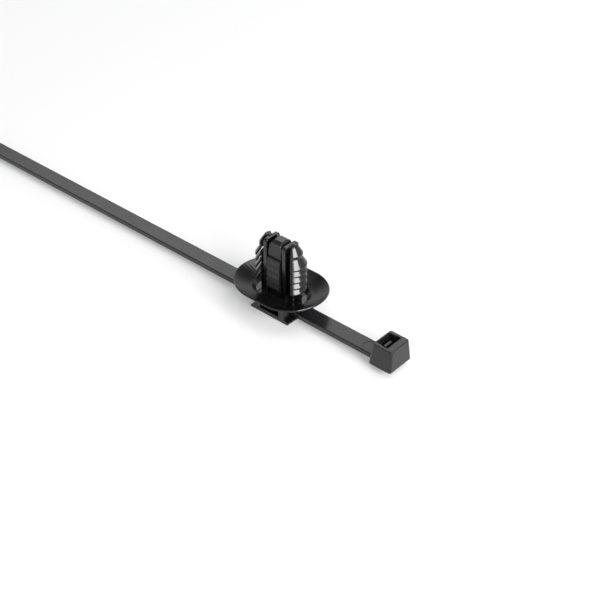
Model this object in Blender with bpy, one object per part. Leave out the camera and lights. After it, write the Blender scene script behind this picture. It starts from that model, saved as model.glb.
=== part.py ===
"""Two-piece fixing tie in black nylon: a ratchet cable tie threaded through a fir tree mount.

The cable tie is one moulding: strap, head and pawl. The mount is another: a saddle that the
strap runs through, a dished disc and a fir tree for an oval hole. +X runs along the strap
towards the head, +Z is up, and the origin is the centre of the saddle's flat underside.
"""

import math

import bmesh
import bpy

MM = 0.001

# Strap
STRAP_WIDTH = 4.6 * MM
STRAP_THICKNESS = 1.3 * MM
STRAP_TOP_ROUND = 0.22 * MM
STRAP_BASE_ROUND = 0.12 * MM
TIE_LENGTH = 202.0 * MM
TAIL_TAPER = 14.0 * MM
TAIL_TIP_WIDTH = 2.4 * MM
TAIL_TIP_THICKNESS = 0.9 * MM
TAIL_TIP_ROUND = 1.1 * MM
TAIL_ROUND_STEPS = 4

# Serrations, recessed between two rails on the strap's underside
TOOTH_PITCH = 1.1 * MM
TOOTH_HEIGHT = 0.38 * MM
TOOTH_TIP_SETBACK = 0.12 * MM
TOOTH_RAMP = 0.8
RAIL_WIDTH = 0.55 * MM
SMOOTH_AT_HEAD = 5.5 * MM

# Round pin mark on the strap's top beside the head
PIN_MARK_DIAMETER = 3.5 * MM
PIN_MARK_DEPTH = 0.08 * MM
PIN_MARK_FROM_HEAD = 2.6 * MM
PIN_MARK_STEPS = 24

# Head
HEAD_FROM_MOUNT = 30.95 * MM
HEAD_LENGTH = 6.6 * MM
HEAD_WIDTH = 8.2 * MM
HEAD_HEIGHT = 5.85 * MM
HEAD_BELOW_STRAP = 0.05 * MM
HEAD_STRAP_DRAFT = 0.65 * MM
HEAD_END_DRAFT = 0.3 * MM
HEAD_SIDE_DRAFT = 0.7 * MM
HEAD_CORNER = 0.65 * MM
HEAD_EDGE_ROUND = 0.2 * MM
HEAD_EDGE_TURNS = (0, 30, 60, 90)

# Strap channel and pawl in the head
HEAD_STRAP_WALL = 0.45 * MM
CHANNEL_SIDE_CLEARANCE = 0.1 * MM
CHANNEL_DEPTH = 1.7 * MM
POCKET_LENGTH = 1.6 * MM
POCKET_SIDE_STEP = 0.25 * MM
PAWL_WIDTH = 2.6 * MM
PAWL_THICKNESS = 0.75 * MM
PAWL_LEAN = 1.25 * MM
PAWL_BELOW_TOP = 1.1 * MM
PAWL_ROOT_HEIGHT = 1.3 * MM
PAWL_TEETH = 3
PAWL_TOOTH_DEPTH = 0.3 * MM

# Saddle
SADDLE_LENGTH = 12.3 * MM
SADDLE_WIDTH = 9.4 * MM
SADDLE_BODY_LENGTH = 9.8 * MM
SILL_THICKNESS = 1.15 * MM
SADDLE_END_THICKNESS = 0.6 * MM
STRAP_FLOOR_CLEARANCE = 0.3 * MM
STRAP_ROOF_CLEARANCE = 0.5 * MM
STRAP_SIDE_CLEARANCE = 0.35 * MM
WINDOW_LENGTH = 6.2 * MM

# Dished disc, a slot shape in plan
DISC_STRAIGHT = 6.8 * MM
DISC_FLOOR_RADIUS = 3.8 * MM
DISC_CREASE_RADIUS = 4.9 * MM
DISC_RIM_RADIUS = 9.4 * MM
DISC_FLOOR_HEIGHT = 4.6 * MM
DISC_CREASE_RISE = 1.05 * MM
DISC_RIM_RISE = 2.8 * MM
DISC_END_LIFT = 0.4 * MM
DISC_CENTRE_THICKNESS = 0.9 * MM
DISC_RIM_THICKNESS = 0.4 * MM
DISC_CURVE = 1.15

# Fir tree
TREE_HEIGHT = 16.2 * MM
FIRST_RIM = 3.2 * MM
FIN_PITCH = 1.79 * MM
FIN_COUNT = 5

POST_LENGTH = 4.1 * MM
POST_FOOT_WIDTH = 4.8 * MM
POST_BLOCK_BASE = 3.1 * MM
POST_FIRST_NOTCH = 4.4 * MM
POST_NOTCHES = 4
POST_TIP_WIDTH = 6.7 * MM
POST_TIP_TAPER = 0.5 * MM
POST_TOOTH_DEPTH = 0.4 * MM
POST_NECK_WIDTH = 4.4 * MM
POST_NECK_HEIGHT = 0.9 * MM
POST_CAP_RIM = 12.3 * MM
POST_CAP_WIDTH = 5.1 * MM
POST_CREASE_WIDTH = 4.2 * MM
POST_CREASE_RISE = 1.5 * MM
POST_END_RISE = 2.3 * MM
POST_SHOULDER_WIDTH = 3.7 * MM
POST_SHOULDER_LENGTH = 3.0 * MM
POST_SHOULDER_RISE = 3.2 * MM
POST_CROWN_WIDTH = 1.8 * MM
POST_CROWN_LENGTH = 2.5 * MM
POST_CROWN_RISE = 3.65 * MM

SLOT_WIDTH = 0.45 * MM
PLATE_THICKNESS = 1.05 * MM
PLATE_WIDTH = 5.0 * MM
PLATE_BELOW_TOP = 0.45 * MM
PLATE_TOP_ROUND = 0.8 * MM
WEB_THICKNESS = 1.3 * MM
WEB_BELOW_TOP = 0.3 * MM
WEB_IN_LEG = 1.2 * MM
SPINE_REACH = 2.8 * MM

LEG_AXIS = 3.45 * MM
LEG_HALF_ANGLE = math.radians(55.0)
FIN_RADIUS = 3.8 * MM
CORE_RADIUS = 1.6 * MM
FIN_SLOPE = math.radians(55.0)
FIN_RIM_HEIGHT = 0.35 * MM
FIN_LIP = 0.35 * MM
CONE_TOP_RADIUS = 2.4 * MM
LEG_CAP_RIM = 13.05 * MM
LEG_CAP_RADIUS = 2.75 * MM
LEG_CAP_RIM_HEIGHT = 0.8 * MM
LEG_CAP_SHOULDER = 0.75 * MM
LEG_CAP_SHOULDER_RADIUS = 1.75 * MM
LEG_CAP_TOP = 0.25 * MM
LEG_CAP_TOP_RADIUS = 1.4 * MM

# Facets
ARC_STEPS = 6
DISC_ARC_STEPS = 20
DISC_STRAIGHT_STEPS = 4
DISC_RADIAL_STEPS = 5
LEG_STEPS = 36
SMOOTH_ANGLE = math.radians(32.0)
MERGE = 0.000001

# Places that follow from the sizes above
STRAP_BASE = SILL_THICKNESS + STRAP_FLOOR_CLEARANCE
STRAP_TOP = STRAP_BASE + STRAP_THICKNESS
HEAD_BASE = STRAP_BASE - HEAD_BELOW_STRAP
HEAD_TOP = HEAD_BASE + HEAD_HEIGHT
HEAD_END = HEAD_FROM_MOUNT + HEAD_LENGTH
TAIL_TIP = HEAD_END - TIE_LENGTH
TAIL_START = TAIL_TIP + TAIL_TAPER
CHANNEL_START = HEAD_FROM_MOUNT + HEAD_STRAP_DRAFT + HEAD_STRAP_WALL
CHANNEL_END = CHANNEL_START + CHANNEL_DEPTH
POCKET_END = CHANNEL_END + POCKET_LENGTH
ROOF = STRAP_TOP + STRAP_ROOF_CLEARANCE
DISC_HALF_STRAIGHT = DISC_STRAIGHT / 2
TREE_FOOT = DISC_FLOOR_HEIGHT - DISC_CENTRE_THICKNESS / 2
TREE_TOP = DISC_FLOOR_HEIGHT + TREE_HEIGHT
PLATE_INNER = POST_LENGTH / 2 + SLOT_WIDTH


def clear_scene():
    """Removes every object, so that the script can be run again."""
    for obj in list(bpy.data.objects):
        bpy.data.objects.remove(obj, do_unlink=True)


def add_object(name, bm):
    """Turns a finished bmesh into a scene object with its faces pointing out."""
    bmesh.ops.recalc_face_normals(bm, faces=bm.faces)
    mesh = bpy.data.meshes.new(name)
    bm.to_mesh(mesh)
    bm.free()
    obj = bpy.data.objects.new(name, mesh)
    bpy.context.collection.objects.link(obj)
    return obj


def across(axis, a, b, depth):
    """The point that lies at a, b in the plane across an axis, and at depth along it."""
    return {"X": (depth, a, b), "Y": (a, depth, b), "Z": (a, b, depth)}[axis]


def prism(name, outline, axis, low, high):
    """An outline in the plane across an axis, extruded along that axis from low to high."""
    bm = bmesh.new()
    face = bm.faces.new([bm.verts.new(across(axis, a, b, low)) for a, b in outline])
    grown = bmesh.ops.extrude_face_region(bm, geom=[face])["geom"]
    moved = [item for item in grown if isinstance(item, bmesh.types.BMVert)]
    bmesh.ops.translate(bm, verts=moved, vec=across(axis, 0.0, 0.0, high - low))
    return add_object(name, bm)


def loft(name, rings):
    """A closed skin over rings of equally many points, with a flat cap at each end."""
    bm = bmesh.new()
    layers = [[bm.verts.new(point) for point in ring] for ring in rings]
    for lower, upper in zip(layers, layers[1:]):
        for i, corner in enumerate(lower):
            j = (i + 1) % len(lower)
            bm.faces.new((corner, lower[j], upper[j], upper[i]))
    bm.faces.new(list(reversed(layers[0])))
    bm.faces.new(layers[-1])
    return add_object(name, bm)


def turned(name, profile, centre_x, steps):
    """A profile of (radius, height) points from axis to axis, spun about a vertical line."""
    bm = bmesh.new()
    verts = [bm.verts.new((radius, 0.0, height)) for radius, height in profile]
    edges = [bm.edges.new(pair) for pair in zip(verts, verts[1:])]
    bmesh.ops.spin(bm, geom=verts + edges, axis=(0.0, 0.0, 1.0), cent=(0.0, 0.0, 0.0),
                   angle=math.tau, steps=steps, use_merge=True)
    bmesh.ops.remove_doubles(bm, verts=bm.verts, dist=MERGE)
    bmesh.ops.translate(bm, verts=bm.verts, vec=(centre_x, 0.0, 0.0))
    return add_object(name, bm)


def box(name, x_range, y_range, z_range):
    """A plain block, for cutters and for webs."""
    corners = [(x_range[0], y_range[0]), (x_range[1], y_range[0]),
               (x_range[1], y_range[1]), (x_range[0], y_range[1])]
    return prism(name, corners, "Z", z_range[0], z_range[1])


def combine(target, tool, operation):
    """Adds a Boolean step to the target; the tool stays as a hidden guide until the bake."""
    step = target.modifiers.new(tool.name, "BOOLEAN")
    step.operation = operation
    step.solver = "EXACT"
    step.object = tool
    tool.hide_render = True
    tool.display_type = "WIRE"


def unite(target, *tools):
    """Joins each tool to the target."""
    for tool in tools:
        combine(target, tool, "UNION")


def cut(target, *tools):
    """Takes each tool away from the target."""
    for tool in tools:
        combine(target, tool, "DIFFERENCE")


def arc(centre_a, centre_b, radius, start, end, steps):
    """Points along a circular arc, both ends included, with angles in degrees."""
    points = []
    for i in range(steps + 1):
        angle = math.radians(start + (end - start) * i / steps)
        points.append((centre_a + radius * math.cos(angle), centre_b + radius * math.sin(angle)))
    return points


def rounded_rectangle(low_a, high_a, low_b, high_b, low_round, high_round, steps=ARC_STEPS):
    """A rectangle whose corners are rounded by one radius at low b and another at high b."""
    return (arc(low_a + low_round, low_b + low_round, low_round, 180, 270, steps)
            + arc(high_a - low_round, low_b + low_round, low_round, 270, 360, steps)
            + arc(high_a - high_round, high_b - high_round, high_round, 0, 90, steps)
            + arc(low_a + high_round, high_b - high_round, high_round, 90, 180, steps))


def nylon(name, colour, roughness):
    """Black nylon as moulded."""
    material = bpy.data.materials.new(name)
    material.use_nodes = True
    shader = material.node_tree.nodes["Principled BSDF"]
    shader.inputs["Base Color"].default_value = (*colour, 1.0)
    shader.inputs["Roughness"].default_value = roughness
    shader.inputs["Metallic"].default_value = 0.0
    return material


def bake(obj, tools, material):
    """Settles the modifiers into the mesh, drops the tools and sets shading and material."""
    graph = bpy.context.evaluated_depsgraph_get()
    mesh = bpy.data.meshes.new_from_object(obj.evaluated_get(graph))
    mesh.name = obj.name
    obj.modifiers.clear()
    obj.data = mesh
    for tool in tools:
        bpy.data.objects.remove(tool, do_unlink=True)
    mesh.materials.clear()
    mesh.materials.append(material)
    mesh.shade_smooth()
    mesh.set_sharp_from_angle(angle=SMOOTH_ANGLE)


# The cable tie

def strap_section(x, width, thickness):
    """The strap's rounded cross-section at one place along it."""
    section = rounded_rectangle(-width / 2, width / 2, STRAP_BASE, STRAP_BASE + thickness,
                                STRAP_BASE_ROUND, STRAP_TOP_ROUND, steps=3)
    return [(x, y, z) for y, z in section]


def strap():
    """The strap, from its rounded tail tip to inside the head's near wall."""
    rings = []
    for i in range(TAIL_ROUND_STEPS + 1):
        turn = math.pi / 2 * i / TAIL_ROUND_STEPS
        narrow = TAIL_TIP_WIDTH - 2 * TAIL_TIP_ROUND * (1 - math.sin(turn))
        rings.append(strap_section(TAIL_TIP + TAIL_TIP_ROUND * (1 - math.cos(turn)),
                                   max(narrow, 2 * STRAP_TOP_ROUND + MERGE), TAIL_TIP_THICKNESS))
    rings.append(strap_section(TAIL_START, STRAP_WIDTH, STRAP_THICKNESS))
    rings.append(strap_section(CHANNEL_START - HEAD_STRAP_WALL / 2, STRAP_WIDTH, STRAP_THICKNESS))
    return loft("cable_tie", rings)


def serration_cutter():
    """A rack that cuts the recess under the strap and leaves the ratchet teeth in it."""
    start = TAIL_START
    end = HEAD_FROM_MOUNT - SMOOTH_AT_HEAD
    teeth = int((end - start) / TOOTH_PITCH)
    tip = STRAP_BASE + TOOTH_TIP_SETBACK
    root = tip + TOOTH_HEIGHT
    outline = [(start, STRAP_BASE - STRAP_THICKNESS)]
    for i in range(teeth):
        outline.append((start + i * TOOTH_PITCH, root))
        outline.append((start + (i + TOOTH_RAMP) * TOOTH_PITCH, tip))
    outline.append((start + teeth * TOOTH_PITCH, root))
    outline.append((start + teeth * TOOTH_PITCH, STRAP_BASE - STRAP_THICKNESS))
    reach = STRAP_WIDTH / 2 - RAIL_WIDTH
    return prism("serrations", outline, "Y", -reach, reach)


def pin_mark():
    """The shallow round mark that a mould pin leaves beside the head."""
    radius = PIN_MARK_DIAMETER / 2
    outline = arc(HEAD_FROM_MOUNT - PIN_MARK_FROM_HEAD, 0.0, radius, 0, 360, PIN_MARK_STEPS)[:-1]
    return prism("pin_mark", outline, "Z", STRAP_TOP - PIN_MARK_DEPTH, STRAP_TOP + STRAP_THICKNESS)


def head_outline(height, inset):
    """The head's outline at a height above its base, drawn in by an inset."""
    share = height / HEAD_HEIGHT
    x0 = HEAD_FROM_MOUNT + HEAD_STRAP_DRAFT * share + inset
    x1 = HEAD_END - HEAD_END_DRAFT * share - inset
    half = HEAD_WIDTH / 2 - HEAD_SIDE_DRAFT * share - inset
    corner = HEAD_CORNER - inset
    outline = rounded_rectangle(x0, x1, -half, half, corner, corner)
    return [(x, y, HEAD_BASE + height) for x, y in outline]


def head_shell():
    """The drafted head with rounded corners and eased top and bottom edges."""
    base = []
    top = []
    for turn in HEAD_EDGE_TURNS:
        rise = HEAD_EDGE_ROUND * (1 - math.cos(math.radians(turn)))
        inset = HEAD_EDGE_ROUND * (1 - math.sin(math.radians(turn)))
        base.append(head_outline(rise, inset))
        top.append(head_outline(HEAD_HEIGHT - rise, inset))
    return loft("head", base + list(reversed(top)))


def channel_cutters():
    """The strap's way through the head, and the wider pocket that the pawl springs back into."""
    half = STRAP_WIDTH / 2 + CHANNEL_SIDE_CLEARANCE
    channel = box("channel", (CHANNEL_START, CHANNEL_END), (-half, half),
                  (HEAD_BASE - HEAD_HEIGHT, HEAD_TOP + HEAD_HEIGHT))
    wide = half + POCKET_SIDE_STEP
    pocket = box("pawl_pocket", (CHANNEL_END - CHANNEL_SIDE_CLEARANCE, POCKET_END), (-wide, wide),
                 (HEAD_BASE + PAWL_ROOT_HEIGHT, HEAD_TOP + HEAD_HEIGHT))
    return channel, pocket


def pawl():
    """The sprung pawl: it leans from its root at the far wall into the strap's channel."""
    base = HEAD_BASE + PAWL_ROOT_HEIGHT / 2
    root_low = HEAD_BASE + PAWL_ROOT_HEIGHT
    tip = HEAD_TOP - PAWL_BELOW_TOP
    front = CHANNEL_END
    tip_front = front - PAWL_LEAN / 2
    tooth = (tip - root_low) / (PAWL_TEETH + 1)
    outline = [(POCKET_END + PAWL_THICKNESS, base), (front, base), (front, root_low)]
    for i in range(PAWL_TEETH):
        low = root_low + (i + 1) * tooth
        x = front + (tip_front - front) * (i + 1) / (PAWL_TEETH + 1)
        outline.append((x + PAWL_TOOTH_DEPTH, low))
        outline.append((x, low + tooth / 3))
    outline += [(tip_front, tip), (tip_front + PAWL_THICKNESS, tip),
                (front + PAWL_THICKNESS, root_low + tooth), (POCKET_END, root_low),
                (POCKET_END + PAWL_THICKNESS, root_low)]
    return prism("pawl", outline, "Y", -PAWL_WIDTH / 2, PAWL_WIDTH / 2)


def cable_tie(material):
    """The tie as one moulding."""
    tie = strap()
    teeth = serration_cutter()
    mark = pin_mark()
    head = head_shell()
    channel, pocket = channel_cutters()
    tongue = pawl()
    cut(tie, teeth, mark)
    cut(head, channel, pocket)
    unite(head, tongue)
    unite(tie, head)
    bake(tie, [teeth, mark, head, channel, pocket, tongue], material)


# The fir tree mount

def slot_ring(radius, height, lift=0.0):
    """A ring of points at one distance outside the disc's straight middle line."""
    half = DISC_HALF_STRAIGHT
    right = arc(half, 0.0, radius, -90, 90, DISC_ARC_STEPS)
    left = arc(-half, 0.0, radius, 90, 270, DISC_ARC_STEPS)
    across_back = [(half - DISC_STRAIGHT * i / DISC_STRAIGHT_STEPS, radius)
                   for i in range(1, DISC_STRAIGHT_STEPS)]
    across_front = [(-x, -y) for x, y in across_back]
    reach = half + DISC_RIM_RADIUS
    points = right + across_back + left + across_front
    return [(x, y, height + lift * (x / reach) ** 2) for x, y in points]


def dish_profile():
    """Radius, top height and end lift of the dish, from its floor out to the rim."""
    rows = [(DISC_FLOOR_RADIUS, DISC_FLOOR_HEIGHT, 0.0)]
    for i in range(DISC_RADIAL_STEPS + 1):
        share = i / DISC_RADIAL_STEPS
        radius = DISC_CREASE_RADIUS + (DISC_RIM_RADIUS - DISC_CREASE_RADIUS) * share
        rise = DISC_CREASE_RISE + (DISC_RIM_RISE - DISC_CREASE_RISE) * share ** DISC_CURVE
        rows.append((radius, DISC_FLOOR_HEIGHT + rise, DISC_END_LIFT * share))
    return rows


def dish():
    """The thin dished disc: a flat floor, a steep step and a flange that rises to the rim."""
    rows = dish_profile()
    under = []
    for radius, height, lift in rows:
        share = (radius - DISC_FLOOR_RADIUS) / (DISC_RIM_RADIUS - DISC_FLOOR_RADIUS)
        thickness = DISC_CENTRE_THICKNESS + (DISC_RIM_THICKNESS - DISC_CENTRE_THICKNESS) * share
        under.append(slot_ring(radius, height - thickness, lift))
    over = [slot_ring(radius, height, lift) for radius, height, lift in rows[:-1]]
    radius, height, lift = rows[-1]
    over.append(slot_ring(radius - DISC_RIM_THICKNESS / 2, height, lift))
    return loft("fir_tree_mount", under + list(reversed(over)))


def dish_hollow():
    """The space over the dish's middle layer, which trims the saddle to fit under it."""
    sink = DISC_RIM_THICKNESS / 2
    rings = [slot_ring(radius, height - sink, lift) for radius, height, lift in dish_profile()]
    rings.append(slot_ring(DISC_RIM_RADIUS, TREE_TOP))
    return loft("dish_hollow", rings)


def saddle():
    """The saddle's sill with ramped ends, and the body over it that carries the disc."""
    half = SADDLE_LENGTH / 2
    body = SADDLE_BODY_LENGTH / 2
    top = DISC_FLOOR_HEIGHT + DISC_CREASE_RISE
    outline = [(-half, 0.0), (half, 0.0), (half, SADDLE_END_THICKNESS), (body, SILL_THICKNESS),
               (body, top), (-body, top), (-body, SILL_THICKNESS), (-half, SADDLE_END_THICKNESS)]
    return prism("saddle", outline, "Y", -SADDLE_WIDTH / 2, SADDLE_WIDTH / 2)


def saddle_openings():
    """The strap's channel along X, and the window through both side walls."""
    strap_half = STRAP_WIDTH / 2 + STRAP_SIDE_CLEARANCE
    channel = box("strap_channel", (-SADDLE_LENGTH, SADDLE_LENGTH), (-strap_half, strap_half),
                  (SILL_THICKNESS, ROOF))
    window = box("window", (-WINDOW_LENGTH / 2, WINDOW_LENGTH / 2), (-SADDLE_WIDTH, SADDLE_WIDTH),
                 (SILL_THICKNESS, ROOF))
    return channel, window


def central_post():
    """The middle post: toothed front and back, under a wedge cap that narrows to a flat crown."""
    base = DISC_FLOOR_HEIGHT + POST_BLOCK_BASE
    rim = DISC_FLOOR_HEIGHT + POST_CAP_RIM
    block_top = rim - POST_NECK_HEIGHT
    side = [(POST_FOOT_WIDTH / 2, TREE_FOOT), (POST_FOOT_WIDTH / 2, base)]
    low = base
    for i in range(POST_NOTCHES + 1):
        tip = (POST_TIP_WIDTH - POST_TIP_TAPER * i / POST_NOTCHES) / 2
        notch = DISC_FLOOR_HEIGHT + POST_FIRST_NOTCH + i * FIN_PITCH
        side.append((tip, low))
        side.append((tip - POST_TOOTH_DEPTH, min(notch, block_top)))
        low = notch
    side += [(POST_NECK_WIDTH / 2, block_top), (POST_NECK_WIDTH / 2, rim), (POST_CAP_WIDTH / 2, rim),
             (POST_CREASE_WIDTH / 2, rim + POST_CREASE_RISE),
             (POST_SHOULDER_WIDTH / 2, rim + POST_SHOULDER_RISE),
             (POST_CROWN_WIDTH / 2, rim + POST_CROWN_RISE)]
    outline = side + [(-y, z) for y, z in reversed(side)]
    return prism("central_post", outline, "X", -POST_LENGTH / 2, POST_LENGTH / 2)


def crown_end(name, side):
    """What slopes one end of the post's cap, from above the crease to the crown."""
    rim = DISC_FLOOR_HEIGHT + POST_CAP_RIM
    low = rim + POST_END_RISE
    crown = rim + POST_CROWN_RISE
    outline = [(side * x, z) for x, z in (
        (POST_LENGTH / 2, low), (POST_SHOULDER_LENGTH / 2, rim + POST_SHOULDER_RISE),
        (POST_CROWN_LENGTH / 2, crown), (POST_CROWN_LENGTH / 2, 2 * crown), (POST_LENGTH, 2 * crown),
        (POST_LENGTH, low))]
    return prism(name, outline, "Y", -POST_CAP_WIDTH, POST_CAP_WIDTH)


def spring_plate(name, side):
    """One of the two plates that stand across the tree, beside the central post."""
    half = PLATE_WIDTH / 2
    centre = TREE_TOP - PLATE_BELOW_TOP - PLATE_TOP_ROUND
    outline = ([(-half, TREE_FOOT), (half, TREE_FOOT)]
               + arc(half - PLATE_TOP_ROUND, centre, PLATE_TOP_ROUND, 0, 90, 4)
               + arc(PLATE_TOP_ROUND - half, centre, PLATE_TOP_ROUND, 90, 180, 4))
    inner, outer = sorted((side * PLATE_INNER, side * (PLATE_INNER + PLATE_THICKNESS)))
    return prism(name, outline, "X", inner, outer)


def leg_profile():
    """Radius and height of a finned leg: steep nested fins, a long cone and a cap."""
    rise = math.tan(FIN_SLOPE)
    profile = [(0.0, TREE_FOOT), (CORE_RADIUS, TREE_FOOT)]
    for i in range(FIN_COUNT):
        rim = DISC_FLOOR_HEIGHT + FIRST_RIM + i * FIN_PITCH
        profile += [(CORE_RADIUS, rim + rise * (FIN_RADIUS - FIN_LIP - CORE_RADIUS)),
                    (FIN_RADIUS - FIN_LIP, rim), (FIN_RADIUS, rim), (FIN_RADIUS, rim + FIN_RIM_HEIGHT)]
        if i < FIN_COUNT - 1:
            profile.append((CORE_RADIUS, rim + FIN_RIM_HEIGHT + rise * (FIN_RADIUS - CORE_RADIUS)))
    cap = DISC_FLOOR_HEIGHT + LEG_CAP_RIM
    profile += [(CONE_TOP_RADIUS, cap), (LEG_CAP_RADIUS, cap), (LEG_CAP_RADIUS, cap + LEG_CAP_RIM_HEIGHT),
                (LEG_CAP_SHOULDER_RADIUS, TREE_TOP - LEG_CAP_SHOULDER),
                (LEG_CAP_TOP_RADIUS, TREE_TOP - LEG_CAP_TOP), (0.0, TREE_TOP)]
    return profile


def finned_leg(name, side):
    """A finned leg, cut to a sector that opens away from its plate."""
    leg = turned(name, leg_profile(), side * LEG_AXIS, LEG_STEPS)
    reach = 3 * FIN_RADIUS
    far_x = LEG_AXIS + reach * math.cos(LEG_HALF_ANGLE)
    far_y = reach * math.sin(LEG_HALF_ANGLE)
    outline = [(side * x, y) for x, y in ((LEG_AXIS, 0.0), (far_x, far_y), (-reach, far_y),
                                          (-reach, -far_y), (far_x, -far_y))]
    trim = prism(name + "_trim", outline, "Z", 0.0, 2 * TREE_TOP)
    cut(leg, trim)
    return leg, trim


def leg_web(name, side):
    """The narrow web that joins a plate to its leg and runs on as a spine behind the fins."""
    inner = PLATE_INNER + PLATE_THICKNESS / 2
    outer = LEG_AXIS + WEB_IN_LEG
    spine = LEG_AXIS + SPINE_REACH
    spine_top = DISC_FLOOR_HEIGHT + FIRST_RIM + (FIN_COUNT - 1) * FIN_PITCH
    top = TREE_TOP - WEB_BELOW_TOP
    outline = [(side * x, z) for x, z in ((inner, TREE_FOOT), (spine, TREE_FOOT), (spine, spine_top),
                                          (outer, spine_top), (outer, top), (inner, top))]
    return prism(name, outline, "Y", -WEB_THICKNESS / 2, WEB_THICKNESS / 2)


def fir_tree_mount(material):
    """The mount as one moulding."""
    mount = dish()
    hollow = dish_hollow()
    body = saddle()
    channel, window = saddle_openings()
    cut(body, hollow, channel, window)
    post = central_post()
    slopes = [crown_end("slope_tail", -1), crown_end("slope_head", 1)]
    cut(post, *slopes)
    unite(mount, body, post)
    tools = [hollow, body, channel, window, post, *slopes]
    for side, label in ((-1, "tail"), (1, "head")):
        plate = spring_plate("plate_" + label, side)
        leg, trim = finned_leg("leg_" + label, side)
        web = leg_web("web_" + label, side)
        unite(mount, plate, leg, web)
        tools += [plate, leg, trim, web]
    bake(mount, tools, material)


def main():
    clear_scene()
    cable_tie(nylon("tie_nylon", (0.022, 0.022, 0.024), 0.42))
    fir_tree_mount(nylon("mount_nylon", (0.016, 0.016, 0.018), 0.4))


main()
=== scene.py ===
"""Looks and studio stage for a two-piece fixing tie: a ratchet tie threaded through a fir tree mount."""

import math

import bmesh
import bpy
from bpy.props import FloatProperty, FloatVectorProperty, PointerProperty
from bpy.types import Operator, Panel, PropertyGroup
from mathutils import Matrix, Vector


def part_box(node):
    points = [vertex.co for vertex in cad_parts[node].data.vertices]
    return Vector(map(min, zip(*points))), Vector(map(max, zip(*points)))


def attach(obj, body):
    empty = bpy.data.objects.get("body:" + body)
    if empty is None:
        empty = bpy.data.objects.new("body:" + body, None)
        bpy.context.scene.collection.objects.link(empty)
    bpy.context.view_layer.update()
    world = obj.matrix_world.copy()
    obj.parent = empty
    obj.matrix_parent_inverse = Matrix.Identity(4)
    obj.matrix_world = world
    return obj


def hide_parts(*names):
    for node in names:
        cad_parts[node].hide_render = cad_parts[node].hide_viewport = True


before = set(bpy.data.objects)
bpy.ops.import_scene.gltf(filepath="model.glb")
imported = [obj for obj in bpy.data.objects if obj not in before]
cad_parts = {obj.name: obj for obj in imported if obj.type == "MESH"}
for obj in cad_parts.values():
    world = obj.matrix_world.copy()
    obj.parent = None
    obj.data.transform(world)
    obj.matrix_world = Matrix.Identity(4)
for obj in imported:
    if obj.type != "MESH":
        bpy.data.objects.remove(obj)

bl_info = {
    "name": "Fir tree tie",
    "version": (1, 0, 0),
    "blender": (4, 5, 0),
    "location": "View3D > Sidebar > Fir tree tie",
    "description": "Gives a fixing tie and its fir tree mount their moulded nylon, and a pale studio",
    "category": "Object",
}

MM = 0.001

# Camera, as the object is photographed: the picture's middle lies right of and above the saddle's foot
SENSOR_WIDTH = 36.0
LENS = 77.36
CAMERA_AZIMUTH = math.radians(41.41)
CAMERA_ELEVATION = math.radians(36.8)
CAMERA_DISTANCE = 322.5 * MM
AIM_RIGHT = 4.6 * MM
AIM_RISE = 1.82 * MM
CLIP_START = 10 * MM

# Eased edges
WELD = 0.002 * MM
FLAT_ANGLE = math.radians(0.5)
EDGE_ANGLE = math.radians(24.0)
EASE_SEGMENTS = 3

# Moulded nylon: faint flow clouds and a fine grain
NYLON_IOR = 1.53
CLOUD_SCALE = 180.0
CLOUD_DETAIL = 3.0
GRAIN_SCALE = 3500.0
GRAIN_DETAIL = 2.0
GRAIN_STRENGTH = 0.25

# The tie's nylon: how much paler its clouds are, and how far its gloss goes to either side
TIE_PALER = 1.25
TIE_SMOOTHER = 0.04
TIE_ROUGHER = 0.06
TIE_SPECULAR = 0.43
TIE_GRAIN_HEIGHT = 0.02 * MM

# The mount's nylon
MOUNT_PALER = 1.3
MOUNT_SMOOTHER = 0.02
MOUNT_ROUGHER = 0.05
MOUNT_SPECULAR = 0.5
MOUNT_GRAIN_HEIGHT = 0.015 * MM

# Faint lines that fan out over the disc's dish, between two heights and two distances from its middle line
LINES_ROUND_DISC = 72.0
LINE_HEIGHT = 3.5
PATCH_SCALE = 420.0
DISC_MIDDLE = 6.2 * MM
DISC_REACH = 1.4 * MM
DISC_HALF_STRAIGHT = 3.4 * MM
DISH_MIDDLE = 7.0 * MM
DISH_REACH = 2.7 * MM

# Satin post: least satin on each tooth's lip, and more towards the next lip above
POST_MIDDLE = 11.5 * MM
POST_REACH = 5.0 * MM
POST_HALF_LENGTH = 2.45 * MM
POST_HALF_WIDTH = 4.0 * MM
SATIN_RISE = 0.42
FIRST_LIP = 9.0 * MM
TOOTH_PITCH = 1.79 * MM
LIP_SATIN = 0.15

# Floor
FLOOR_SIDE = 4.0
FLOOR_DROP = 0.02 * MM
FLOOR_ROUGHNESS = 0.9

# Softboxes: azimuth and elevation in degrees, then distance, width and depth in metres
KEY_SOFTBOX = (130.0, 60.0, 0.9, 0.5, 0.4)
SIDE_SOFTBOX = (81.0, 28.0, 0.9, 0.62, 0.33)
BACK_SOFTBOX = (223.0, 38.0, 0.9, 0.62, 0.3)
WATTS_PER_SQUARE_METRE = 4.0

# Studio room: the sine of the elevation, from the horizon up, and the brightness there
SKY_STEPS = (
    (0.0, 0.55),
    (0.17, 0.7),
    (0.34, 0.8),
    (0.5, 0.42),
    (0.64, 0.13),
    (0.77, 0.13),
    (0.87, 0.5),
    (0.95, 1.2),
)
SKY_BLUER = 1.02


def pick(tree, kind, **settings):
    """Adds a node and sets its properties."""
    node = tree.nodes.new(kind)
    for name, value in settings.items():
        setattr(node, name, value)
    return node


def maths(tree, operation, *terms):
    """Adds a maths node over sockets and plain numbers, and gives back its output."""
    node = pick(tree, "ShaderNodeMath", operation=operation)
    for place, term in enumerate(terms):
        if isinstance(term, bpy.types.NodeSocket):
            tree.links.new(term, node.inputs[place])
        else:
            node.inputs[place].default_value = term
    return node.outputs[0]


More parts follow.
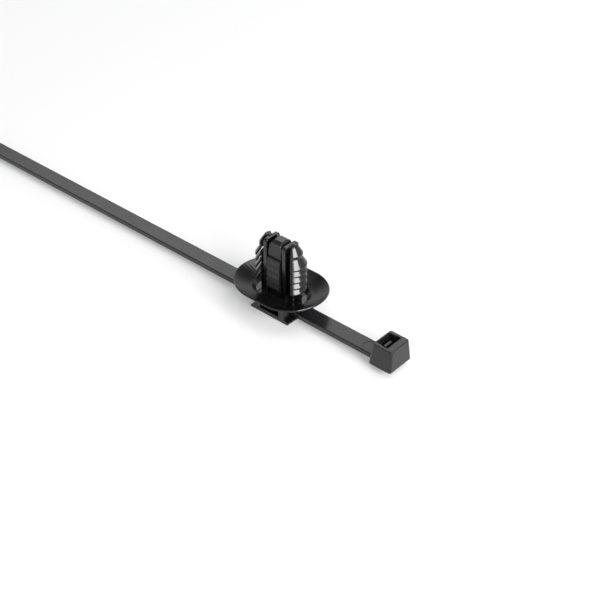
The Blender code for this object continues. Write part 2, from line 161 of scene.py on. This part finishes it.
def within(tree, value, middle, reach):
    """One where a value lies within reach of a middle, and nought elsewhere."""
    return maths(tree, "COMPARE", value, middle, reach)


def new_group(name, inputs, outputs):
    """A shader node group with named sockets, and its two end nodes."""
    group = bpy.data.node_groups.new(name, "ShaderNodeTree")
    for label, kind, value in inputs:
        socket = group.interface.new_socket(name=label, in_out="INPUT", socket_type=kind)
        socket.default_value = value
    for label, kind in outputs:
        group.interface.new_socket(name=label, in_out="OUTPUT", socket_type=kind)
    return group, pick(group, "NodeGroupInput"), pick(group, "NodeGroupOutput")


def moulded_skin():
    """The skin of moulded nylon: faint flow clouds in the colour, a gloss that follows them, and grain."""
    inputs = [("Dark", "NodeSocketColor", (0.01, 0.01, 0.01, 1.0)),
              ("Pale", "NodeSocketColor", (0.02, 0.02, 0.02, 1.0)),
              ("Cloud Scale", "NodeSocketFloat", CLOUD_SCALE),
              ("Grain Scale", "NodeSocketFloat", GRAIN_SCALE),
              ("Smooth", "NodeSocketFloat", 0.2),
              ("Rough", "NodeSocketFloat", 0.3)]
    outputs = [("Color", "NodeSocketColor"),
               ("Roughness", "NodeSocketFloat"),
               ("Height", "NodeSocketFloat")]
    group, start, end = new_group("Moulded skin", inputs, outputs)
    link = group.links.new
    place = pick(group, "ShaderNodeTexCoord")
    cloud = pick(group, "ShaderNodeTexNoise", noise_dimensions="3D")
    cloud.inputs["Detail"].default_value = CLOUD_DETAIL
    grain = pick(group, "ShaderNodeTexNoise", noise_dimensions="3D")
    grain.inputs["Detail"].default_value = GRAIN_DETAIL
    tint = pick(group, "ShaderNodeMix", data_type="RGBA")
    gloss = pick(group, "ShaderNodeMapRange")
    link(place.outputs["Object"], cloud.inputs["Vector"])
    link(place.outputs["Object"], grain.inputs["Vector"])
    link(start.outputs["Cloud Scale"], cloud.inputs["Scale"])
    link(start.outputs["Grain Scale"], grain.inputs["Scale"])
    link(cloud.outputs["Fac"], tint.inputs["Factor"])
    link(start.outputs["Dark"], tint.inputs["A"])
    link(start.outputs["Pale"], tint.inputs["B"])
    link(cloud.outputs["Fac"], gloss.inputs["Value"])
    link(start.outputs["Smooth"], gloss.inputs["To Min"])
    link(start.outputs["Rough"], gloss.inputs["To Max"])
    link(tint.outputs["Result"], end.inputs["Color"])
    link(gloss.outputs["Result"], end.inputs["Roughness"])
    link(grain.outputs["Fac"], end.inputs["Height"])
    return group


def from_middle_line(tree, x, y):
    """How far a point lies outside the disc's straight middle line, seen from above."""
    past_straight = maths(tree, "SUBTRACT", maths(tree, "ABSOLUTE", x), DISC_HALF_STRAIGHT)
    flat = pick(tree, "ShaderNodeCombineXYZ")
    length = pick(tree, "ShaderNodeVectorMath", operation="LENGTH")
    tree.links.new(maths(tree, "MAXIMUM", past_straight, 0.0), flat.inputs["X"])
    tree.links.new(y, flat.inputs["Y"])
    tree.links.new(flat.outputs[0], length.inputs[0])
    return length.outputs["Value"]


def tool_marks():
    """What the tool left on the mount: faint lines that fan out over the dish, and a satin toothed post."""
    inputs = [("Lines", "NodeSocketFloat", LINES_ROUND_DISC)]
    outputs = [("Height", "NodeSocketFloat"),
               ("Satin", "NodeSocketFloat")]
    group, start, end = new_group("Tool marks", inputs, outputs)
    link = group.links.new
    place = pick(group, "ShaderNodeTexCoord")
    axes = pick(group, "ShaderNodeSeparateXYZ")
    patches = pick(group, "ShaderNodeTexNoise", noise_dimensions="3D")
    patches.inputs["Scale"].default_value = PATCH_SCALE
    link(place.outputs["Object"], axes.inputs[0])
    link(place.outputs["Object"], patches.inputs["Vector"])
    x, y, z = axes.outputs

    phase = maths(group, "MULTIPLY", maths(group, "ARCTAN2", y, x), start.outputs["Lines"])
    lines = maths(group, "MULTIPLY", maths(group, "SINE", phase), patches.outputs["Fac"])
    lines = maths(group, "MULTIPLY", lines, within(group, z, DISC_MIDDLE, DISC_REACH))
    in_dish = within(group, from_middle_line(group, x, y), DISH_MIDDLE, DISH_REACH)
    link(maths(group, "MULTIPLY", lines, in_dish), end.inputs["Height"])

    satin = within(group, z, POST_MIDDLE, POST_REACH)
    satin = maths(group, "MULTIPLY", satin, within(group, x, 0.0, POST_HALF_LENGTH))
    satin = maths(group, "MULTIPLY", satin, within(group, y, 0.0, POST_HALF_WIDTH))
    teeth = maths(group, "DIVIDE", maths(group, "SUBTRACT", z, FIRST_LIP), TOOTH_PITCH)
    rubbed = maths(group, "MULTIPLY_ADD", maths(group, "FRACT", teeth), 1.0 - LIP_SATIN, LIP_SATIN)
    link(maths(group, "MULTIPLY", satin, rubbed), end.inputs["Satin"])
    return group


def shared_group(name, build):
    """A node group by its name, built when it is first asked for."""
    return bpy.data.node_groups.get(name) or build()


def nylon(name, dark, pale, smooth, rough, specular, grain_height):
    """Black nylon: a moulded skin on a plain dielectric."""
    material = bpy.data.materials.new(name)
    material.use_nodes = True
    tree = material.node_tree
    shader = tree.nodes["Principled BSDF"]
    shader.inputs["Metallic"].default_value = 0.0
    shader.inputs["IOR"].default_value = NYLON_IOR
    shader.inputs["Specular IOR Level"].default_value = specular
    surface = pick(tree, "ShaderNodeGroup", node_tree=shared_group("Moulded skin", moulded_skin))
    surface.inputs["Dark"].default_value = (*dark, 1.0)
    surface.inputs["Pale"].default_value = (*pale, 1.0)
    surface.inputs["Smooth"].default_value = smooth
    surface.inputs["Rough"].default_value = rough
    bump = pick(tree, "ShaderNodeBump")
    bump.inputs["Strength"].default_value = GRAIN_STRENGTH
    bump.inputs["Distance"].default_value = grain_height
    tree.links.new(surface.outputs["Color"], shader.inputs["Base Color"])
    tree.links.new(surface.outputs["Roughness"], shader.inputs["Roughness"])
    tree.links.new(surface.outputs["Height"], bump.inputs["Height"])
    tree.links.new(bump.outputs["Normal"], shader.inputs["Normal"])
    return material


def add_tool_marks(material):
    """Adds the mount's tool marks to its nylon."""
    tree = material.node_tree
    shader = tree.nodes["Principled BSDF"]
    bump = tree.nodes["Bump"]
    surface = next(node for node in tree.nodes if node.type == "GROUP")
    marks = pick(tree, "ShaderNodeGroup", node_tree=shared_group("Tool marks", tool_marks))
    height = maths(tree, "MULTIPLY_ADD", marks.outputs["Height"], LINE_HEIGHT, surface.outputs["Height"])
    rough = maths(tree, "MULTIPLY_ADD", marks.outputs["Satin"], SATIN_RISE, surface.outputs["Roughness"])
    tree.links.new(height, bump.inputs["Height"])
    tree.links.new(rough, shader.inputs["Roughness"])


def settled(piece):
    """Turns a piece's modifiers into plain mesh."""
    graph = bpy.context.evaluated_depsgraph_get()
    mesh = bpy.data.meshes.new_from_object(piece.evaluated_get(graph), depsgraph=graph)
    piece.modifiers.clear()
    piece.data = mesh


def eased_copy(node_name, piece_name, width, material):
    """A finer copy of a solid, inside its box: flats joined and shaded level, hard edges eased."""
    mesh = bpy.data.meshes.new(piece_name)
    bm = bmesh.new()
    bm.from_mesh(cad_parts[node_name].data)
    bmesh.ops.remove_doubles(bm, verts=bm.verts, dist=WELD)
    bmesh.ops.dissolve_limit(bm, angle_limit=FLAT_ANGLE, verts=bm.verts, edges=bm.edges)
    bm.to_mesh(mesh)
    bm.free()
    mesh.materials.append(material)
    mesh.shade_smooth()
    piece = bpy.data.objects.new(piece_name, mesh)
    bpy.context.scene.collection.objects.link(piece)
    ease = piece.modifiers.new("Ease", "BEVEL")
    ease.width = width
    ease.segments = EASE_SEGMENTS
    ease.limit_method = "ANGLE"
    ease.angle_limit = EDGE_ANGLE
    ease.use_clamp_overlap = False
    flats = piece.modifiers.new("Level flats", "WEIGHTED_NORMAL")
    flats.mode = "FACE_AREA"
    settled(piece)
    low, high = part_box(node_name)
    for vertex in piece.data.vertices:
        vertex.co = [min(max(value, least), most) for value, least, most in zip(vertex.co, low, high)]
    return piece


class TieProperties(PropertyGroup):
    """What can be set on the cable tie."""
    colour: FloatVectorProperty(name="Nylon", description="Colour of the tie's nylon", subtype="COLOR",
                                size=3, min=0.0, max=1.0, default=(0.01, 0.01, 0.011))
    roughness: FloatProperty(name="Roughness", description="How matt the tie's nylon is",
                             subtype="FACTOR", min=0.0, max=1.0, default=0.23)
    edge_round: FloatProperty(name="Edge round", description="How far the tie's hard edges are eased",
                              subtype="DISTANCE", min=0.0, default=0.085 * MM)


class MountProperties(PropertyGroup):
    """What can be set on the fir tree mount."""
    colour: FloatVectorProperty(name="Nylon", description="Colour of the mount's nylon", subtype="COLOR",
                                size=3, min=0.0, max=1.0, default=(0.004, 0.004, 0.0045))
    roughness: FloatProperty(name="Roughness", description="How matt the mount's nylon is",
                             subtype="FACTOR", min=0.0, max=1.0, default=0.18)
    edge_round: FloatProperty(name="Edge round", description="How far the mount's hard edges are eased",
                              subtype="DISTANCE", min=0.0, default=0.1 * MM)


class StageProperties(PropertyGroup):
    """What can be set on the stage."""
    floor_colour: FloatVectorProperty(name="Floor", description="Colour of the floor", subtype="COLOR",
                                      size=3, min=0.0, max=1.0, default=(0.62, 0.62, 0.62))
    floor_glow: FloatProperty(name="Floor glow", description="White added to the floor as it is seen",
                              subtype="FACTOR", min=0.0, max=1.0, default=0.27)
    key_radiance: FloatProperty(name="Key light", min=0.0, default=2.2,
                                description="Brightness of the high softbox at the camera's right")
    side_radiance: FloatProperty(name="Side light", min=0.0, default=12.5,
                                 description="Brightness of the low softbox at the front right")
    back_radiance: FloatProperty(name="Back light", min=0.0, default=1.35,
                                 description="Brightness of the wide softbox behind the object")
    sky_strength: FloatProperty(name="Fill", min=0.0, default=1.0,
                                description="Brightness of the studio's walls and ceiling")


class TIE_OT_dress_tie(Operator):
    """Give the strap, head and pawl their moulded nylon"""
    bl_idname = "tie.dress_tie"
    bl_label = "Dress the tie"

    def execute(self, context):
        props = context.scene.fir_tie
        pale = tuple(level * TIE_PALER for level in props.colour)
        material = nylon("Tie nylon", props.colour, pale, props.roughness - TIE_SMOOTHER,
                         props.roughness + TIE_ROUGHER, TIE_SPECULAR, TIE_GRAIN_HEIGHT)
        piece = eased_copy("cable_tie", "tie_moulding", props.edge_round, material)
        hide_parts("cable_tie")
        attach(piece, "tie")
        return {"FINISHED"}


class TIE_OT_dress_mount(Operator):
    """Give the saddle, disc and fir tree their moulded nylon"""
    bl_idname = "tie.dress_mount"
    bl_label = "Dress the mount"

    def execute(self, context):
        props = context.scene.fir_mount
        pale = tuple(level * MOUNT_PALER for level in props.colour)
        material = nylon("Mount nylon", props.colour, pale, props.roughness - MOUNT_SMOOTHER,
                         props.roughness + MOUNT_ROUGHER, MOUNT_SPECULAR, MOUNT_GRAIN_HEIGHT)
        add_tool_marks(material)
        piece = eased_copy("fir_tree_mount", "mount_moulding", props.edge_round, material)
        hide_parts("fir_tree_mount")
        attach(piece, "mount")
        return {"FINISHED"}


def floor_material(colour, glow):
    """Pale floor that keeps shadows and is seen a little brighter than it is lit."""
    material = bpy.data.materials.new("Floor")
    material.use_nodes = True
    tree = material.node_tree
    shader = tree.nodes["Principled BSDF"]
    shader.inputs["Base Color"].default_value = (*colour, 1.0)
    shader.inputs["Roughness"].default_value = FLOOR_ROUGHNESS
    shader.inputs["Specular IOR Level"].default_value = 0.0
    rays = pick(tree, "ShaderNodeLightPath")
    seen = maths(tree, "MAXIMUM", rays.outputs["Is Camera Ray"], rays.outputs["Is Glossy Ray"])
    seen = maths(tree, "MAXIMUM", seen, rays.outputs["Is Transmission Ray"])
    emission = pick(tree, "ShaderNodeEmission")
    both = pick(tree, "ShaderNodeAddShader")
    tree.links.new(maths(tree, "MULTIPLY", seen, glow), emission.inputs["Strength"])
    tree.links.new(shader.outputs[0], both.inputs[0])
    tree.links.new(emission.outputs[0], both.inputs[1])
    tree.links.new(both.outputs[0], tree.nodes["Material Output"].inputs["Surface"])
    return material


def add_floor(props):
    """A large pale floor under the saddle."""
    half = FLOOR_SIDE / 2
    corners = [(-half, -half, -FLOOR_DROP),
               (half, -half, -FLOOR_DROP),
               (half, half, -FLOOR_DROP),
               (-half, half, -FLOOR_DROP)]
    mesh = bpy.data.meshes.new("Floor")
    mesh.from_pydata(corners, [], [(0, 1, 2, 3)])
    mesh.materials.append(floor_material(props.floor_colour, props.floor_glow))
    floor = bpy.data.objects.new("Floor", mesh)
    bpy.context.scene.collection.objects.link(floor)


def add_softbox(name, place_and_size, radiance):
    """A rectangular light that faces the object; azimuth 0 stands in front, along -Y, and 90 along +X."""
    azimuth, elevation, distance, width, depth = place_and_size
    light = bpy.data.lights.new(name, "AREA")
    light.shape = "RECTANGLE"
    light.size = width
    light.size_y = depth
    light.energy = WATTS_PER_SQUARE_METRE * width * depth * radiance
    softbox = bpy.data.objects.new(name, light)
    turn = math.radians(azimuth)
    tilt = math.radians(elevation)
    towards = Vector((math.sin(turn) * math.cos(tilt), -math.cos(turn) * math.cos(tilt), math.sin(tilt)))
    softbox.matrix_world = towards.to_track_quat("Z", "Y").to_matrix().to_4x4()
    softbox.location = towards * distance
    bpy.context.scene.collection.objects.link(softbox)


def light_world(strength):
    """A studio room: pale from the horizon up to a third, dark above that, and pale again overhead."""
    world = bpy.data.worlds.new("Studio")
    bpy.context.scene.world = world
    world.use_nodes = True
    tree = world.node_tree
    back = tree.nodes["Background"]
    place = pick(tree, "ShaderNodeTexCoord")
    split = pick(tree, "ShaderNodeSeparateXYZ")
    ramp = pick(tree, "ShaderNodeValToRGB")
    stops = ramp.color_ramp.elements
    stops.remove(stops[1])
    for step, (height, level) in enumerate(SKY_STEPS):
        stop = stops.new(height) if step else stops[0]
        stop.position = height
        stop.color = (level, level, level * SKY_BLUER, 1.0)
    tree.links.new(place.outputs["Generated"], split.inputs[0])
    tree.links.new(split.outputs["Z"], ramp.inputs["Fac"])
    tree.links.new(ramp.outputs["Color"], back.inputs["Color"])
    back.inputs["Strength"].default_value = strength


def add_camera():
    """The camera at the photograph's viewing angle."""
    flat = Vector((-math.sin(CAMERA_AZIMUTH), math.cos(CAMERA_AZIMUTH), 0.0))
    ahead = flat * math.cos(CAMERA_ELEVATION) - Vector((0.0, 0.0, math.sin(CAMERA_ELEVATION)))
    right = Vector((math.cos(CAMERA_AZIMUTH), math.sin(CAMERA_AZIMUTH), 0.0))
    up = right.cross(ahead)
    camera = bpy.data.objects.new("Camera", bpy.data.cameras.new("Camera"))
    camera.data.sensor_width = SENSOR_WIDTH
    camera.data.lens = LENS
    camera.data.clip_start = CLIP_START
    pose = Matrix((right, up, -ahead)).transposed().to_4x4()
    pose.translation = right * AIM_RIGHT + up * AIM_RISE - ahead * CAMERA_DISTANCE
    camera.matrix_world = pose
    bpy.context.scene.collection.objects.link(camera)
    bpy.context.scene.camera = camera


class TIE_OT_set_stage(Operator):
    """Set the floor, the lights, the camera and the colour view"""
    bl_idname = "tie.set_stage"
    bl_label = "Set the stage"

    def execute(self, context):
        props = context.scene.fir_stage
        add_floor(props)
        add_softbox("Key softbox", KEY_SOFTBOX, props.key_radiance)
        add_softbox("Side softbox", SIDE_SOFTBOX, props.side_radiance)
        add_softbox("Back softbox", BACK_SOFTBOX, props.back_radiance)
        light_world(props.sky_strength)
        add_camera()
        context.scene.view_settings.view_transform = "Standard"
        return {"FINISHED"}


class TIE_PT_sidebar(Panel):
    """Sizes, colours and steps of the fir tree tie"""
    bl_idname = "TIE_PT_sidebar"
    bl_label = "Fir tree tie"
    bl_space_type = "VIEW_3D"
    bl_region_type = "UI"
    bl_category = "Fir tree tie"

    def draw(self, context):
        scene = context.scene
        sections = (("Tie", scene.fir_tie, "tie.dress_tie"),
                    ("Mount", scene.fir_mount, "tie.dress_mount"),
                    ("Stage", scene.fir_stage, "tie.set_stage"))
        for label, props, step in sections:
            box = self.layout.box()
            box.label(text=label)
            for name in props.__annotations__:
                box.prop(props, name)
            box.operator(step)


CLASSES = (TieProperties, MountProperties, StageProperties, TIE_OT_dress_tie, TIE_OT_dress_mount,
           TIE_OT_set_stage, TIE_PT_sidebar)


def register():
    """Adds the settings, the steps and the sidebar panel."""
    for item in CLASSES:
        bpy.utils.register_class(item)
    bpy.types.Scene.fir_tie = PointerProperty(type=TieProperties)
    bpy.types.Scene.fir_mount = PointerProperty(type=MountProperties)
    bpy.types.Scene.fir_stage = PointerProperty(type=StageProperties)


def unregister():
    """Takes them out again."""
    del bpy.types.Scene.fir_stage
    del bpy.types.Scene.fir_mount
    del bpy.types.Scene.fir_tie
    for item in reversed(CLASSES):
        bpy.utils.unregister_class(item)


def main():
    """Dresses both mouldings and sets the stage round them."""
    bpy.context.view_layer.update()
    register()
    bpy.ops.tie.dress_tie()
    bpy.ops.tie.dress_mount()
    bpy.ops.tie.set_stage()


if __name__ == "__main__":
    main()
